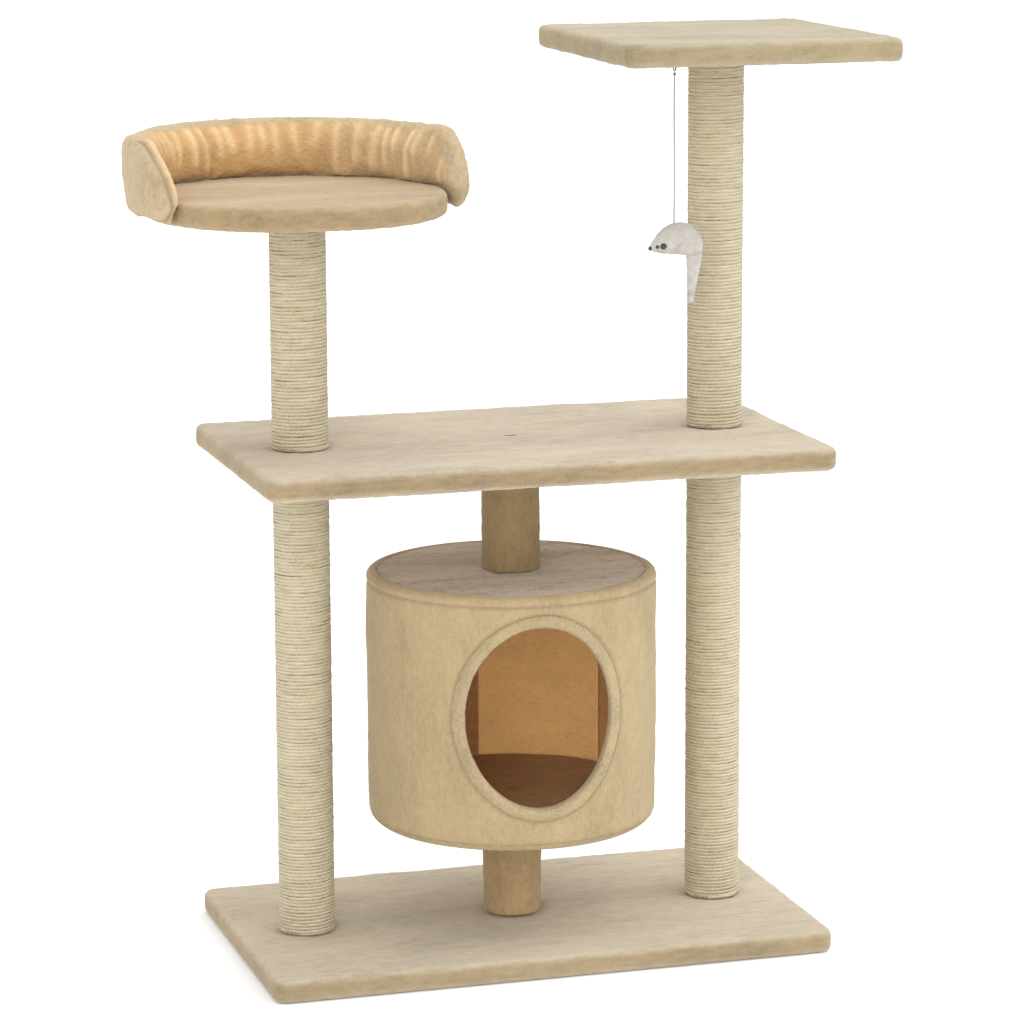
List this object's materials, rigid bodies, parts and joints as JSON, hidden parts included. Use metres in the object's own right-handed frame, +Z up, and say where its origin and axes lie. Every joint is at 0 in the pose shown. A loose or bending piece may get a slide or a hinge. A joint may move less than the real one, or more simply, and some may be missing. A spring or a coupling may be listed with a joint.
{
  "type": "cat tree",
  "caption": "Cat tree with a plush base, sisal posts, a round condo with an oval opening, a middle shelf, a bolstered bed, a top platform and a hanging toy mouse.",
  "frame": {"origin": "on the floor, in the middle of the object's box seen from above, 14 mm towards the bed from the middle of the base", "axes": "+X from the bed to the top platform, +Y from the condo's opening to the back, +Z up"},
  "size_m": [0.774, 0.352, 0.951],
  "materials": {
    "plush": "short beige plush",
    "plush_fold": "thin tan plush with light behind it",
    "sisal": "wound natural rope",
    "board": "raw chipboard",
    "hardboard": "raw brown hardboard",
    "paper_tube": "wound paperboard",
    "plug": "moulded black plastic",
    "steel": "zinc plated",
    "string": "twisted white string",
    "mouse_fur": "short white fur",
    "bead": "polished black bead"
  },
  "bodies": {
    "tree": {"base_board": "board", "base_cover": "plush", "base_bolt_left": "steel", "base_bolt_middle": "steel", "base_bolt_right": "steel", "lower_left_post_tube": "paper_tube", "lower_left_post_sisal": "sisal", "lower_left_post_bottom_plug": "plug", "lower_left_post_top_plug": "plug", "lower_right_post_tube": "paper_tube", "lower_right_post_sisal": "sisal", "lower_right_post_bottom_plug": "plug", "lower_right_post_top_plug": "plug", "upper_left_post_tube": "paper_tube", "upper_left_post_sisal": "sisal", "upper_left_post_bottom_plug": "plug", "upper_left_post_top_plug": "plug", "upper_right_post_tube": "paper_tube", "upper_right_post_sisal": "sisal", "upper_right_post_bottom_plug": "plug", "upper_right_post_top_plug": "plug", "condo_lower_post_tube": "paper_tube", "condo_lower_post_plush": "plush", "condo_lower_post_bottom_plug": "plug", "condo_lower_post_top_plug": "plug", "condo_upper_post_tube": "paper_tube", "condo_upper_post_plush": "plush", "condo_upper_post_bottom_plug": "plug", "condo_upper_post_top_plug": "plug", "shelf_board": "board", "shelf_cover": "plush", "shelf_stud_left": "steel", "shelf_stud_right": "steel", "shelf_bolt_middle": "steel", "condo_bottom_cover": "plush", "condo_floor_board": "board", "condo_floor_cover": "plush", "condo_roof_board": "board", "condo_roof_cover": "plush", "condo_wall_shell": "hardboard", "condo_back_panel": "plush_fold", "condo_wall_cover": "plush", "condo_opening_hem": "plush", "condo_floor_bolt": "steel", "condo_roof_bolt": "steel", "bed_board": "board", "bed_cover": "plush", "bed_bolster": "plush", "bed_stud": "steel", "platform_board": "board", "platform_cover": "plush", "platform_stud": "steel", "toy_staple": "steel"},
    "loop": {"toy_string_loop": "string"},
    "string": {"toy_string": "string"},
    "mouse": {"mouse_body": "mouse_fur", "mouse_tail": "mouse_fur", "mouse_eye_left": "bead", "mouse_eye_right": "bead", "mouse_nose": "bead"}
  },
  "joints": [
    {"name": "toy_swing_from_post", "type": "hinge", "parent": "tree", "child": "loop", "pos_m": [0.166, -0.08, 0.922], "axis": [-0.7387, 0.6741, 0], "range_deg": [-13, 60]},
    {"name": "toy_swing_past_post", "type": "hinge", "parent": "loop", "child": "string", "pos_m": [0.166, -0.08, 0.9178], "axis": [0.6741, 0.7387, 0], "range_deg": [-45, 45]},
    {"name": "mouse_twist", "type": "hinge", "parent": "string", "child": "mouse", "pos_m": [0.166, -0.08, 0.7626], "axis": [0, 0, 1], "range_deg": [-180, 180]}
  ]
}
